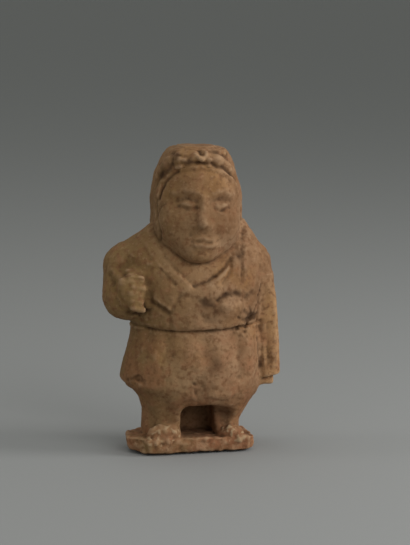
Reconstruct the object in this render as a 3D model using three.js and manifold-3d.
// A small standing figure of pressed and fired clay: a dwarf in a belted robe over gathered trousers,
// with a rolled-hair headdress, one fist held at the chest, on a thin slab of the same clay.
// Millimetres, +Z up, +X to the viewer's right, -Y towards the viewer.
// The origin is on the flat underside of the slab, below the middle of the figure.
import * as THREE from 'three';
import { mergeVertices } from 'three/addons/utils/BufferGeometryUtils.js';
import Module from 'manifold-3d';

// Slab: its outline seen from above, the radius of its corners, and its height
const SLAB_OUTLINE = [[-23.2, -17.6], [27, -16.6], [29.8, -13.4], [29.4, 12.4], [24, 17.4], [-22, 17],
  [-29, 11], [-31.6, -8]];
const SLAB_CORNER = 2.4;
const SLAB_HEIGHT = 7.4;
const SLAB_EDGE = 1.2;
const SLAB_UNDERCUT = 0.035;
const SLAB_SLOPE = { x: -0.012, y: -0.05 };

// Cross sections from the ankles to the waist: height, left, right, front, back
const SKIRT = [
  [4, -22.5, 24.4, -14.5, 14],
  [12, -22.8, 24.4, -14, 14],
  [19, -22.6, 27.4, -16, 16],
  [25, -24, 31.2, -19.5, 18],
  [29.4, -27, 33.6, -21.8, 19.3],
  [32, -31, 34, -22.6, 20],
  [34.5, -33, 34.1, -22.9, 20.5],
  [41, -31.8, 34.1, -23, 20.8],
  [50, -29.3, 34.2, -22, 20.3],
  [58, -27.5, 33.4, -20.5, 19.6],
  [63, -26.9, 33.2, -20, 19.3],
];
// From the waist to the neck
const CHEST = [
  [60, -27.8, 33.6, -21.4, 20.2],
  [63, -28.6, 34.2, -22.4, 20.6],
  [70, -29.4, 35, -22.7, 20.8],
  [78, -30.6, 35.4, -22, 20.6],
  [86, -32, 35, -20.6, 20],
  [94, -31.4, 34.2, -17.8, 18.6],
  [100, -28.6, 32.4, -14.6, 17.2],
  [104.5, -22.4, 29.8, -11.5, 16.5],
  [109, -16.6, 27.4, -8, 15],
];
// From the hem of the hanging sleeve up to the shoulder
const SLEEVE = [
  [30, 33, 44.4, -7.6, 7.6],
  [45, 33, 43.8, -8.4, 8.6],
  [60, 32, 42.8, -8.8, 9.2],
  [72, 31, 42, -9.4, 10],
  [84, 28, 40.2, -9.8, 11],
];
// The hair, from behind the shoulders up over the crown
const HAIR = [
  [94, -12, 19.5, 4, 17],
  [102, -14.6, 26.4, 1.5, 20],
  [109, -16.2, 28, -1, 21.5],
  [120, -16.2, 27.4, -4.5, 22],
  [130, -15.2, 24.4, -9.5, 21],
  [137, -13.2, 21.8, -14, 18.5],
  [141, -11.4, 19.6, -16, 16],
  [144, -8.8, 17, -14.5, 12.5],
  [145.4, -5, 12, -9, 6.5],
];
const BODY_SQUARENESS = 2.3;
const SLEEVE_SQUARENESS = 3;
const HAIR_SQUARENESS = 2.5;

// The belt and the hem rise towards the sides by these amounts
const MIDDLE_X = 3;
const HALF_WIDTH = 32;
const BELT = { low: 59.5, rise: 2.8, depth: 1.4, width: 1.3 };
const HEM = { low: 30.7, rise: 2.2, depth: 1.1, width: 1.3 };

// Head: where its centre is, how it is turned in degrees, and heights in its own frame
const HEAD_CENTRE = new THREE.Vector3(3.2, -5, 116);
const HEAD_YAW = -4;
const HEAD_ROLL = 2.5;
const CROWN = 30;
const CHIN = -23;
// A plain face on usual proportions: eyes half way up, the nose's base half way from brow to chin,
// the mouth a third of the way on, and the eyes a fifth of the width and one eye apart
const FACE_WIDTH = 41;
const EYE_WIDTH = FACE_WIDTH / 5;
const EYE_LEVEL = (CROWN + CHIN) / 2;
const BROW_LEVEL = EYE_LEVEL + 6.3;
const NOSE_LEVEL = (BROW_LEVEL + CHIN) / 2;
const MOUTH_LEVEL = NOSE_LEVEL + (CHIN - NOSE_LEVEL) * 0.4;

// The rolled hair over the brow, its locks, and the knot in its middle
const ROLL = [[-14.4, -3.5, 125.5], [-13.8, -7.4, 132], [-11.6, -11.2, 137.6], [-6.4, -14.2, 140.8],
  [1.8, -15.2, 141.8], [9.4, -14.6, 140.9], [15.4, -11.8, 137.3], [18.4, -7.6, 131.8], [19.4, -3.5, 125]];
const ROLL_RADIUS = 3.7;
const LOCKS_PER_SIDE = 4;
const LOCKS_START = 0.07;
const LOCK_FRONT = new THREE.Vector3(0, -2, -1);
const LOCK_TOP = new THREE.Vector3(0, 0.2, 2.2);
const LOCK_RADIUS = 2.1;
const LOCK_TURN = 0.085;
const KNOT = new THREE.Vector3(2, -17.4, 141.6);
// The middle of the headband over the brow, as x, z pairs, and its half width
const HEADBAND = [[-15.2, 125.5], [-12.6, 133], [-8.8, 136.6], [-2.6, 138], [5.2, 138], [11.7, 135.6],
  [16.6, 132], [19.6, 127.8]];
const HEADBAND_ENDS = [new THREE.Vector3(-16, -8, 119), new THREE.Vector3(20.8, -8, 121)];
const HEADBAND_RADIUS = 1.4;

// Bent right arm: joints and radii along the upper arm and the forearm
const UPPER_ARM = { from: [-28.4, 2, 88.2], to: [-30.7, -2.5, 75], radii: [12, 10.6] };
const FOREARM = { from: [-30.4, -6, 74.4], to: [-28.6, -9.5, 80], radii: [9.4, 8.2] };
// Hanging left arm: the shoulder, the slanting hem of the sleeve, and the hand below it
const SHOULDER = { from: [29.4, 2, 88], to: [30.4, 0, 82], radii: [11.2, 10.6] };
const SLEEVE_HEM = { x: 44, z: 35.2, slope: 0.16 };
const HAND = { centre: [36.8, -1, 33.4], half: [3.8, 5, 3.4], radius: 1.4 };
// The edge of the cuff on the bent arm, as x, z pairs, and its half width
const CUFF = [[-31.6, 88.6], [-28, 88.4], [-24.4, 87.4]];
const CUFF_RADIUS = 1.1;
// Fist held at the chest, and the spacing of its fingers
const FIST = new THREE.Vector3(-28.4, -16.6, 79.2);
const FINGER_PITCH = 3.3;
const FINGER_RADIUS = 1.75;
// The arched recess between the legs, its flare to the right, and the low mounds of clay over the feet
const RECESS = { centre: [2.4, -12, 12.2], half: [8.8, 19, 11], radius: 3.6 };
const RECESS_FLARE = { centre: [11.5, -19.5, 14.5], radii: [8.5, 9, 9.5] };
const LEFT_FOOT = { centre: [-15, -14.2, 7.4], radii: [8.6, 2.9, 3] };
const RIGHT_FOOT = { centre: [18.4, -13.6, 8.6], radii: [4.6, 3, 4.6] };

// Cloth that lies over the rest on the front: outlines as x, z pairs, and how far it stands proud.
// A layer ends LAYER_END behind the middle, and thins out over LAYER_FADE before that.
const CAPE = [[19.6, 84.5], [20.4, 91], [22.4, 100], [26, 109], [36, 106], [33, 90], [31.6, 78.4],
  [29.6, 76.6], [27.4, 77.2], [24, 75.6], [21.6, 76.8], [19.8, 78.2]];
const CAPE_HEIGHT = 1.0;
const RIGHT_BAND = [[-1.6, 81.4], [2.9, 81.8], [7.5, 83.6], [11.6, 86.7], [15.8, 90.3], [20.4, 97.4],
  [22.2, 100], [20, 91], [19, 84.5], [18, 80], [13.6, 79.4], [11.4, 77], [7.7, 75.6], [5.4, 73.9],
  [1.6, 74.2], [-1.2, 76.2], [-4.6, 79]];
const LEFT_BAND = [[-19.8, 109], [-17, 99.6], [-14.4, 95.1], [-10, 89.8], [-5.3, 85], [-1.6, 81.4],
  [-4.6, 79], [-7.7, 78.1], [-10.4, 82.6], [-13.4, 86], [-15.9, 88.6], [-20, 94.5], [-25, 103]];
const BAND_HEIGHT = 1.0;
const FLAP = [[-10.6, 82.8], [-8.2, 78.6], [-13.8, 69.6], [-17.8, 72.6], [-22.6, 76], [-22.5, 92],
  [-18.5, 93], [-14.6, 88.6]];
const FLAP_HEIGHT = 0.9;
const LAYER_END = 4;
const LAYER_FADE = 8;
const LAYER_REACH = 46;

const CLAY = new THREE.MeshStandardMaterial({ color: 0xa57c55, roughness: 0.92, metalness: 0 });

// Each form of the clay is a function of a point that gives its distance from the form's surface,
// below zero inside.

function ellipsoid(centre, radii, roll = 0) {
  const [cx, cy, cz] = centre;
  const [rx, ry, rz] = radii;
  const c = Math.cos(THREE.MathUtils.degToRad(roll));
  const s = Math.sin(THREE.MathUtils.degToRad(roll));
  return (x, y, z) => {
    const u = c * (x - cx) - s * (z - cz);
    const v = y - cy;
    const w = c * (z - cz) + s * (x - cx);
    const size = Math.hypot(u / rx, v / ry, w / rz);
    const slope = Math.hypot(u / rx ** 2, v / ry ** 2, w / rz ** 2);
    return (size * (size - 1)) / Math.max(slope, 1e-6);
  };
}

function limb(a, b, radiusA, radiusB) {
  const ab = b.map((v, i) => v - a[i]);
  const square = ab.reduce((sum, v) => sum + v * v, 0);
  return (x, y, z) => {
    const p = [x - a[0], y - a[1], z - a[2]];
    const share = THREE.MathUtils.clamp((p[0] * ab[0] + p[1] * ab[1] + p[2] * ab[2]) / square, 0, 1);
    const away = Math.hypot(p[0] - share * ab[0], p[1] - share * ab[1], p[2] - share * ab[2]);
    return away - THREE.MathUtils.lerp(radiusA, radiusB, share);
  };
}

function block(centre, half, radius) {
  return (x, y, z) => {
    const q = [x - centre[0], y - centre[1], z - centre[2]].map((v, i) => Math.abs(v) - half[i] + radius);
    const outside = Math.hypot(Math.max(q[0], 0), Math.max(q[1], 0), Math.max(q[2], 0));
    return outside + Math.min(Math.max(...q), 0) - radius;
  };
}

// A smooth curve through the stations' values that never overshoots them
function smoothColumn(stations, column) {
  const last = stations.length - 1;
  const rise = stations.slice(1).map((s, i) => (s[column] - stations[i][column]) / (s[0] - stations[i][0]));
  const slope = stations.map((_, i) => {
    if (i === 0) return rise[0];
    if (i === last) return rise[last - 1];
    const product = rise[i - 1] * rise[i];
    return product <= 0 ? 0 : (2 * product) / (rise[i - 1] + rise[i]);
  });
  return (height) => {
    let i = 0;
    while (i < last - 1 && height > stations[i + 1][0]) i += 1;
    const span = stations[i + 1][0] - stations[i][0];
    const t = (height - stations[i][0]) / span;
    return (2 * t ** 3 - 3 * t ** 2 + 1) * stations[i][column]
      + (t ** 3 - 2 * t ** 2 + t) * span * slope[i]
      + (3 * t ** 2 - 2 * t ** 3) * stations[i + 1][column]
      + (t ** 3 - t ** 2) * span * slope[i + 1];
  };
}

// A stack of rounded outlines
function loft(stations, squareness) {
  const [left, right, front, back] = [1, 2, 3, 4].map((column) => smoothColumn(stations, column));
  const low = stations[0][0];
  const high = stations[stations.length - 1][0];
  return (x, y, z) => {
    const height = THREE.MathUtils.clamp(z, low, high);
    const a = (right(height) - left(height)) / 2;
    const b = (back(height) - front(height)) / 2;
    const u = Math.abs(x - (right(height) + left(height)) / 2) / a;
    const v = Math.abs(y - (back(height) + front(height)) / 2) / b;
    const size = (u ** squareness + v ** squareness + 1e-9) ** (1 / squareness);
    const slope = Math.hypot((u / size) ** (squareness - 1) / a, (v / size) ** (squareness - 1) / b);
    const side = (size - 1) / Math.max(slope, 1e-4);
    const cap = Math.max(low - z, z - high);
    if (cap <= 0) return Math.max(side, cap);
    return Math.hypot(Math.max(side, 0), cap);
  };
}

// Joins two distances with a soft valley, and cuts one from another with a soft edge
function meet(a, b, soft) {
  const near = Math.max(soft - Math.abs(a - b), 0) / soft;
  return Math.min(a, b) - near * near * soft * 0.25;
}

function carve(a, b, soft) {
  return -meet(-a, b, soft);
}

function joined(soft, forms) {
  return (x, y, z) => forms.reduce((d, form) => meet(d, form(x, y, z), soft), 1e3);
}

const bump = (t) => Math.exp(-t * t);
const step = (t) => 1 / (1 + Math.exp(-THREE.MathUtils.clamp(t, -30, 30)));

// Body: skirt, chest, belt, hem and the shallow folds that fan out below the belt

const skirt = loft(SKIRT, BODY_SQUARENESS);
const chest = loft(CHEST, BODY_SQUARENESS);
const plainBody = (x, y, z) => meet(skirt(x, y, z), chest(x, y, z), 0.8);
const across = (x) => (x - MIDDLE_X) / HALF_WIDTH;
const beltHeight = (x) => BELT.low + BELT.rise * across(x) ** 2;
const hemHeight = (x) => HEM.low + HEM.rise * across(x) ** 2;

function body(x, y, z) {
  const around = Math.atan2(y, x - MIDDLE_X);
  const hemShows = step(y * 0.35 - across(x) * 4 - 0.5);
  const fan = Math.sin(around * 11) * 0.32 + Math.sin(around * 7 + 1) * 0.2;
  return plainBody(x, y, z)
    + BELT.depth * bump((z - beltHeight(x)) / BELT.width)
    + HEM.depth * hemShows * bump((z - hemHeight(x)) / HEM.width)
    + fan * bump((z - 50) / 8.5)
    + Math.sin(around * 15) * 0.35 * bump((z - 21) / 7) * step((z - 8) / 2);
}

// Arms

const limbOf = ({ from, to, radii }) => limb(from, to, ...radii);
const bentArm = joined(4, [limbOf(UPPER_ARM), limbOf(FOREARM)]);
const shoulder = limbOf(SHOULDER);
const sleeveTube = loft(SLEEVE, SLEEVE_SQUARENESS);
const aboveHem = (x, z) => z - SLEEVE_HEM.z - SLEEVE_HEM.slope * (x - SLEEVE_HEM.x);
const sleeve = (x, y, z) => meet(shoulder(x, y, z), carve(sleeveTube(x, y, z), aboveHem(x, z), 0.6), 2);

const hand = block(HAND.centre, HAND.half, HAND.radius);
const palm = ellipsoid([FIST.x - 1.4, FIST.y + 1.6, FIST.z], [6, 4.4, 9]);
const fingers = [0, 1, 2, 3].map((i) => {
  const height = FIST.z + FINGER_RADIUS - FINGER_PITCH * i;
  const knuckle = [FIST.x - 1, FIST.y - 1.7, height + 0.5];
  const tip = [FIST.x + 2.6, FIST.y - 1, height - 0.4];
  return limb(knuckle, tip, FINGER_RADIUS, FINGER_RADIUS);
});
const thumbRoot = [FIST.x - 3, FIST.y - 1, FIST.z + 5.2];
const thumbTip = [FIST.x + 2.6, FIST.y - 1.2, FIST.z + 5.6];
const thumb = limb(thumbRoot, thumbTip, 1.8, 1.5);
const fist = joined(0.9, [palm, ...fingers, thumb]);

// Head: the face in its own frame, then tilted, and the hair

function mirrored(form) {
  return (x, y, z) => form(Math.abs(x), y, z);
}

const braincase = ellipsoid([0, 1.5, 4.5], [FACE_WIDTH / 2, 20.5, 24]);
const jaw = ellipsoid([0, -3.5, -9], [FACE_WIDTH / 2 - 1, 17.2, 15.5]);
const skull = joined(6, [braincase, jaw]);
const chin = ellipsoid([0, -14.6, CHIN + 4.8], [8, 5, 5.4]);
const cheek = mirrored(ellipsoid([10, -11.6, NOSE_LEVEL + 0.5], [7.4, 6, 7.4]));
const brow = mirrored(limb([3.6, -17.4, BROW_LEVEL - 1.4], [14.2, -13.6, BROW_LEVEL - 1.2], 1.2, 1));
const socket = mirrored(ellipsoid([EYE_WIDTH, -21.8, EYE_LEVEL + 0.9], [5.2, 3.4, 3.4]));
const eye = mirrored(ellipsoid([EYE_WIDTH, -14.8, EYE_LEVEL], [EYE_WIDTH * 0.56, 3.4, 2.8]));
const nose = limb([0, -18.2, BROW_LEVEL - 3.8], [0, -20.6, NOSE_LEVEL + 2], 1.6, 2.5);
const nostril = mirrored(ellipsoid([2.8, -19, NOSE_LEVEL + 0.8], [2.1, 2.3, 1.9]));
const muzzle = ellipsoid([0, -16, MOUTH_LEVEL - 0.4], [8, 3.6, 4.4]);
const upperLip = ellipsoid([0, -18.8, MOUTH_LEVEL + 0.9], [5, 1.5, 1.1]);
const lowerLip = ellipsoid([0, -18.8, MOUTH_LEVEL - 1.8], [4.6, 1.6, 1.3]);

function face(x, y, z) {
  let d = meet(meet(skull(x, y, z), chin(x, y, z), 5), cheek(x, y, z), 4.5);
  d = carve(meet(d, brow(x, y, z), 3), socket(x, y, z), 3);
  d = meet(meet(d, eye(x, y, z), 0.8), meet(nose(x, y, z), nostril(x, y, z), 1.2), 2.2);
  return [muzzle, upperLip, lowerLip].reduce((sum, form) => meet(sum, form(x, y, z), 1.4), d);
}

const headTurn = new THREE.Matrix4()
  .makeRotationZ(THREE.MathUtils.degToRad(HEAD_YAW))
  .multiply(new THREE.Matrix4().makeRotationY(THREE.MathUtils.degToRad(HEAD_ROLL)));
const intoHead = headTurn.clone().setPosition(HEAD_CENTRE).invert();

function tiltedFace(x, y, z) {
  const p = new THREE.Vector3(x, y, z).applyMatrix4(intoHead);
  return face(p.x, p.y, p.z);
}

const hairMass = loft(HAIR, HAIR_SQUARENESS);
const rollCurve = new THREE.CatmullRomCurve3(ROLL.map((spot) => new THREE.Vector3(...spot)));
// Each lock winds around the roll, from low in front to high behind, and away from the knot
const locks = [-1, 1].flatMap((side) => (
  Array.from({ length: LOCKS_PER_SIDE }, (_, i) => {
    const share = 0.5 + side * (LOCKS_START + LOCK_TURN * i);
    const start = rollCurve.getPoint(share).add(LOCK_FRONT);
    const end = rollCurve.getPoint(share + side * LOCK_TURN).add(LOCK_TOP);
    return start.z < end.z ? [start, end] : [end, start];
  })
));
const loopMiddles = [-1, 1].map((side) => KNOT.clone().add(new THREE.Vector3(side * 4.4, 1, 0.6)));
const loops = loopMiddles.map((middle, i) => ellipsoid(middle.toArray(), [4, 2.4, 2], i ? 24 : -24));
const tie = ellipsoid(KNOT.toArray(), [1.6, 2.2, 2.2]);

// Recess between the legs

const recessArch = block(RECESS.centre, RECESS.half, RECESS.radius);
const recess = joined(3, [recessArch, ellipsoid(RECESS_FLARE.centre, RECESS_FLARE.radii)]);

// Draws a point in along a ray until it touches a form
function touch(form, origin, direction, reach = 80) {
  let t = reach;
  for (let i = 0; i < 120; i += 1) {
    const d = form(origin.x + direction.x * t, origin.y + direction.y * t, origin.z + direction.z * t);
    if (Math.abs(d) < 0.002) break;
    t = Math.max(t - d * 0.7, 0);
  }
  return direction.clone().multiplyScalar(t).add(origin);
}

// A line on the front, from x, z pairs laid onto a form
function line(form, pairs, spacing = 1.2) {
  const spots = pairs.map(([x, z]) => new THREE.Vector3(x, 0, z));
  const curve = new THREE.CatmullRomCurve3(spots);
  const count = Math.ceil(curve.getLength() / spacing);
  const towards = new THREE.Vector3(0, -1, 0);
  return curve.getSpacedPoints(count).map((spot) => touch(form, spot, towards));
}

function groove(form, width, depth, pairs) {
  const path = line(form, pairs);
  const reach = width * 2.6;
  const box = new THREE.Box3().setFromPoints(path).expandByScalar(reach);
  const spot = new THREE.Vector3();
  const nearest = new THREE.Vector3();
  const pieces = path.slice(1).map((end, i) => new THREE.Line3(path[i], end));
  return (x, y, z) => {
    spot.set(x, y, z);
    if (!box.containsPoint(spot)) return 0;
    let away = reach;
    for (const piece of pieces) {
      piece.closestPointToPoint(spot, true, nearest);
      away = Math.min(away, nearest.distanceTo(spot));
    }
    return depth * bump(away / width);
  };
}

const bodyRelief = [
  groove(plainBody, 1.5, 1, [[-21.4, 88], [-21.6, 80], [-22.6, 70]]),
  groove(plainBody, 2, 0.7, [[19.5, 57], [20.5, 46], [19, 36]]),
];
const faceRelief = [
  groove(tiltedFace, 1, 0.9, [[-3, 102.2], [3, 102], [9, 102.6]]),
];

function detailed(form, relief) {
  return (x, y, z) => relief.reduce((d, mark) => d + mark(x, y, z), form(x, y, z));
}

// Heights from low to high in equal steps, both ends included
function steps(low, high, count) {
  return Array.from({ length: count + 1 }, (_, i) => low + ((high - low) * i) / count);
}

// Puts a closed ball of columns and rows around a form's core, a list of points from the bottom up with
// one row each, and draws every vertex in onto the form. Columns come in fours and crowd towards the front
// by `crowd`, from 0 to 1, and `rise` lets a row climb towards the sides.
function drapedOver(form, { core, columns, capRows, crowd = 0, rise = () => 0 }) {
  const sideRows = core.length - 1;
  const rows = sideRows + 2 * capRows;
  const ball = new THREE.SphereGeometry(1, columns, rows).rotateX(Math.PI / 2);
  const position = ball.getAttribute('position');
  const corner = new THREE.Vector3();
  const origin = new THREE.Vector3();
  const direction = new THREE.Vector3();
  for (let i = 0; i < position.count; i += 1) {
    corner.fromBufferAttribute(position, i);
    const row = Math.round((Math.acos(THREE.MathUtils.clamp(-corner.z, -1, 1)) / Math.PI) * rows);
    // straight behind, the angle reads as plus or minus half a turn, so both become one column
    const column = Math.round((Math.atan2(corner.x, -corner.y) / Math.PI) * (columns / 2));
    const share = column === columns / 2 ? -1 : column / (columns / 2);
    const around = Math.PI * share - crowd * Math.sin(Math.PI * share) - Math.PI / 2;
    const capShare = row < capRows ? row / capRows - 1 : Math.max(row - capRows - sideRows, 0) / capRows;
    const lift = (capShare * Math.PI) / 2;
    const level = Math.abs(capShare) === 1 ? 0 : Math.cos(lift);
    direction.set(level * Math.cos(around), level * Math.sin(around), Math.sin(lift));
    origin.copy(core[THREE.MathUtils.clamp(row - capRows, 0, sideRows)]);
    origin.z += rise(origin.z, Math.cos(around)) * level;
    position.setXYZ(i, ...touch(form, origin, direction).toArray());
  }
  return ball;
}

// A round bead of clay laid along a line
function bead(path, radius, sides, count) {
  const ring = new THREE.EllipseCurve(0, 0, radius, radius).getPoints(sides).slice(0, -1);
  const section = new THREE.Shape(ring);
  return new THREE.ExtrudeGeometry(section, { steps: count, extrudePath: path, bevelEnabled: false });
}

function roundedShape(corners, radius) {
  const shape = new THREE.Shape();
  const points = corners.map(([x, y]) => new THREE.Vector2(x, y));
  const stepTowards = (point, other) => {
    const edge = other.clone().sub(point);
    return edge.setLength(Math.min(radius, edge.length() * 0.45)).add(point);
  };
  points.forEach((point, i) => {
    const before = stepTowards(point, points[(i + points.length - 1) % points.length]);
    const after = stepTowards(point, points[(i + 1) % points.length]);
    if (i === 0) shape.moveTo(before.x, before.y);
    else shape.lineTo(before.x, before.y);
    shape.quadraticCurveTo(point.x, point.y, after.x, after.y);
  });
  shape.closePath();
  return shape;
}

// The slab leans in a little towards its flat underside, and its top slopes with the hand that pressed it
function slabGeometry() {
  const inset = SLAB_OUTLINE.map(([x, y]) => [x - Math.sign(x) * SLAB_EDGE, y - Math.sign(y) * SLAB_EDGE]);
  const slab = new THREE.ExtrudeGeometry(roundedShape(inset, SLAB_CORNER), {
    depth: SLAB_HEIGHT - 2 * SLAB_EDGE,
    bevelThickness: SLAB_EDGE,
    bevelSize: SLAB_EDGE,
    bevelSegments: 2,
    curveSegments: 3,
  });
  slab.translate(0, 0, SLAB_EDGE);
  const position = slab.getAttribute('position');
  for (let i = 0; i < position.count; i += 1) {
    const [x, y, z] = [position.getX(i), position.getY(i), position.getZ(i)];
    const share = z / SLAB_HEIGHT;
    const lean = 1 - SLAB_UNDERCUT * (1 - share);
    position.setXYZ(i, x * lean, y * lean, z + (SLAB_SLOPE.x * x + SLAB_SLOPE.y * y) * share);
  }
  return slab;
}

const at = (x, y, z) => new THREE.Vector3(x, y, z);
const column = (low, high, count) => steps(0, 1, count).map((share) => low.clone().lerp(high, share));

// The trunk's rows keep to the belt, so that its groove has one row of its own
const ANKLE = at(1.5, 0, 5.6);
const NECK = at(5, 1, 98);
const BELT_GAP = 1.8;
const skirtHeights = steps(ANKLE.z, BELT.low - BELT_GAP, 13);
const chestHeights = steps(BELT.low + BELT_GAP, NECK.z, 10);
const trunkHeights = [...skirtHeights, BELT.low, ...chestHeights];
const trunkGrid = {
  core: trunkHeights.map((z) => ANKLE.clone().lerp(NECK, (z - ANKLE.z) / (NECK.z - ANKLE.z)).setZ(z)),
  columns: 40,
  capRows: 3,
  crowd: 0.3,
  rise: (z, side) => BELT.rise * side * side * bump((z - BELT.low) / 14),
};
const trunkGeometry = drapedOver(detailed(body, bodyRelief), trunkGrid);
const faceGeometry = drapedOver(detailed(tiltedFace, faceRelief), {
  core: column(at(3.4, -6, 102), at(3.2, -4, 128), 14),
  columns: 36,
  capRows: 4,
  crowd: 0.55,
});
const hairGeometry = drapedOver(hairMass, {
  core: column(at(5, 8, 106), at(3, 2, 134), 7),
  columns: 28,
  capRows: 4,
});
const rollGeometry = bead(rollCurve, ROLL_RADIUS, 8, 16);
const lockGeometries = locks.map((ends) => {
  const form = limb(ends[0].toArray(), ends[1].toArray(), LOCK_RADIUS, LOCK_RADIUS);
  return drapedOver(form, { core: ends, columns: 8, capRows: 2 });
});
const knotMiddles = [...loopMiddles, KNOT];
const knotGeometries = [...loops, tie].map((form, i) => (
  drapedOver(form, { core: [knotMiddles[i]], columns: 8, capRows: 3 })
));
const [bandLeft, bandRight] = HEADBAND_ENDS;
const headbandPath = new THREE.CatmullRomCurve3([bandLeft, ...line(tiltedFace, HEADBAND, 3), bandRight]);
const headbandGeometry = bead(headbandPath, HEADBAND_RADIUS, 6, 18);
const armGeometry = drapedOver(bentArm, {
  core: column(at(-30, -3, 76), at(-28.4, 2, 88), 4),
  columns: 16,
  capRows: 4,
});
const cuffPath = new THREE.CatmullRomCurve3(line(bentArm, CUFF, 3));
const cuffGeometry = bead(cuffPath, CUFF_RADIUS, 6, 6);
const fistGeometry = drapedOver(fist, {
  core: column(FIST.clone().setZ(FIST.z - 5), FIST.clone().setZ(FIST.z + 5), 9),
  columns: 12,
  capRows: 3,
  crowd: 0.3,
});
const sleeveGeometry = drapedOver(sleeve, {
  core: column(at(38, 0, 38.5), at(30, 1, 88), 8),
  columns: 20,
  capRows: 3,
});
const handGeometry = drapedOver(hand, {
  core: column(at(37, -1, 32.4), at(37, -1, 34), 1),
  columns: 12,
  capRows: 2,
});
const recessGeometry = drapedOver(recess, {
  core: column(at(3.5, -8, 9), at(3.5, -8, 14), 2),
  columns: 24,
  capRows: 3,
});
const footGeometries = [LEFT_FOOT, RIGHT_FOOT].map(({ centre, radii }) => {
  const spread = Math.max(radii[0] - radii[1], 0.1) / 2;
  const core = column(at(...centre).setX(centre[0] - spread), at(...centre).setX(centre[0] + spread), 1);
  return drapedOver(ellipsoid(centre, radii), { core, columns: 12, capRows: 3 });
});

const wasm = await Module();
wasm.setup();

function solidOf(geometry) {
  const bare = geometry.clone();
  bare.deleteAttribute('normal');
  bare.deleteAttribute('uv');
  const welded = mergeVertices(bare, 1e-4);
  const vertProperties = welded.getAttribute('position').array;
  const triVerts = new Uint32Array(welded.index.array);
  return new wasm.Manifold(new wasm.Mesh({ numProp: 3, vertProperties, triVerts }));
}

function geometryOf(solid) {
  const mesh = solid.getMesh();
  const geometry = new THREE.BufferGeometry();
  geometry.setAttribute('position', new THREE.BufferAttribute(mesh.vertProperties, 3));
  geometry.setIndex(new THREE.BufferAttribute(mesh.triVerts, 1));
  geometry.computeVertexNormals();
  return geometry;
}

// A layer of cloth over the trunk and the shoulder, inside an outline on the front
function layer(thickness, outline) {
  const facing = (y) => THREE.MathUtils.clamp((LAYER_END - y) / LAYER_FADE, 0, 1);
  const over = (x, y, z) => Math.min(body(x, y, z), sleeve(x, y, z)) - thickness * facing(y);
  const shape = new THREE.Shape(outline.map(([x, z]) => new THREE.Vector2(x, z)));
  const prism = new THREE.ExtrudeGeometry(shape, { depth: LAYER_REACH, bevelEnabled: false })
    .rotateX(Math.PI / 2)
    .translate(0, LAYER_END, 0);
  return solidOf(drapedOver(over, trunkGrid)).intersect(solidOf(prism));
}

const joinAll = (first, others) => others.reduce((sum, solid) => sum.add(solid), first);
const layers = [
  layer(CAPE_HEIGHT, CAPE),
  layer(BAND_HEIGHT, RIGHT_BAND),
  layer(BAND_HEIGHT, LEFT_BAND),
  layer(FLAP_HEIGHT, FLAP),
];
const headdress = [rollGeometry, ...lockGeometries, ...knotGeometries, headbandGeometry];
const headForms = [faceGeometry, hairGeometry, ...headdress];
const armForms = [armGeometry, cuffGeometry, fistGeometry, sleeveGeometry, handGeometry];
const clothed = joinAll(solidOf(trunkGeometry), layers);
const whole = joinAll(clothed, [...headForms, ...armForms].map(solidOf));
const hollowed = whole.subtract(solidOf(recessGeometry));
const figure = joinAll(hollowed, [...footGeometries, slabGeometry()].map(solidOf));

const dwarf = new THREE.Mesh(geometryOf(figure), CLAY);
dwarf.name = 'dwarf_figure';

const group = new THREE.Group();
group.name = 'terracotta_dwarf';
group.add(dwarf);

export default group;
